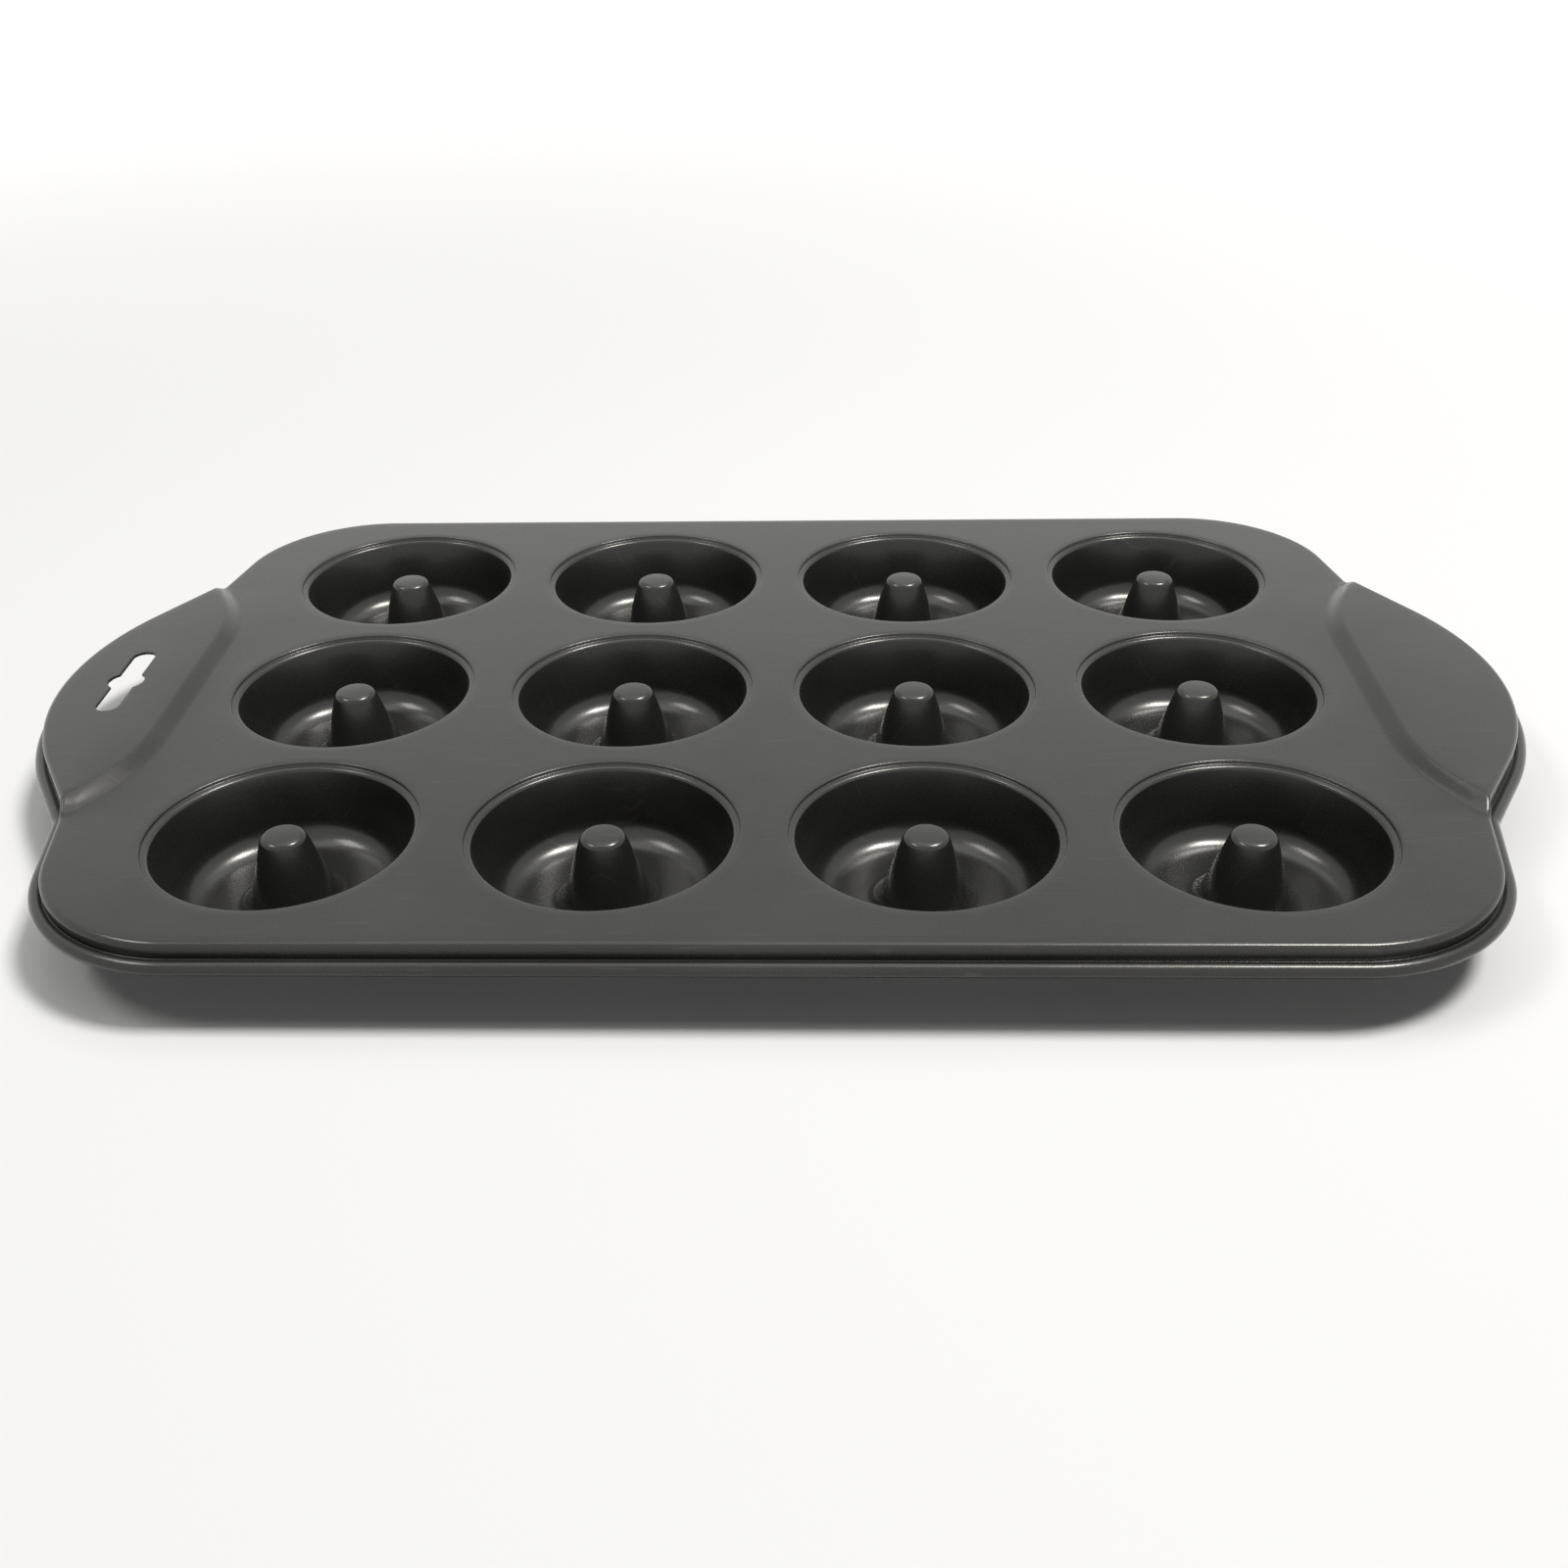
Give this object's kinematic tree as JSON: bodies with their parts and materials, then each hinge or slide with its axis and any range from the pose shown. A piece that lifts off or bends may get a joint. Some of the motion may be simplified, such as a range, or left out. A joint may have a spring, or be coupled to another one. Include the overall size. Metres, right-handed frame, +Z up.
{
  "type": "doughnut pan",
  "caption": "Shallow pressed-sheet baking pan with rows of ring-shaped wells round hollow pegs, raised handles at both ends and a rim rolled outwards.",
  "frame": {"origin": "centre of the pan in plan, at the plane its wells stand on", "axes": "+X from the handle with the hanging slot to the plain handle, +Y from the front edge to the back, +Z up"},
  "size_m": [0.3934, 0.2426, 0.0233],
  "materials": {
    "coating": "satin dark non-stick coating"
  },
  "bodies": {
    "root": {"pan": "coating"}
  },
  "joints": []
}
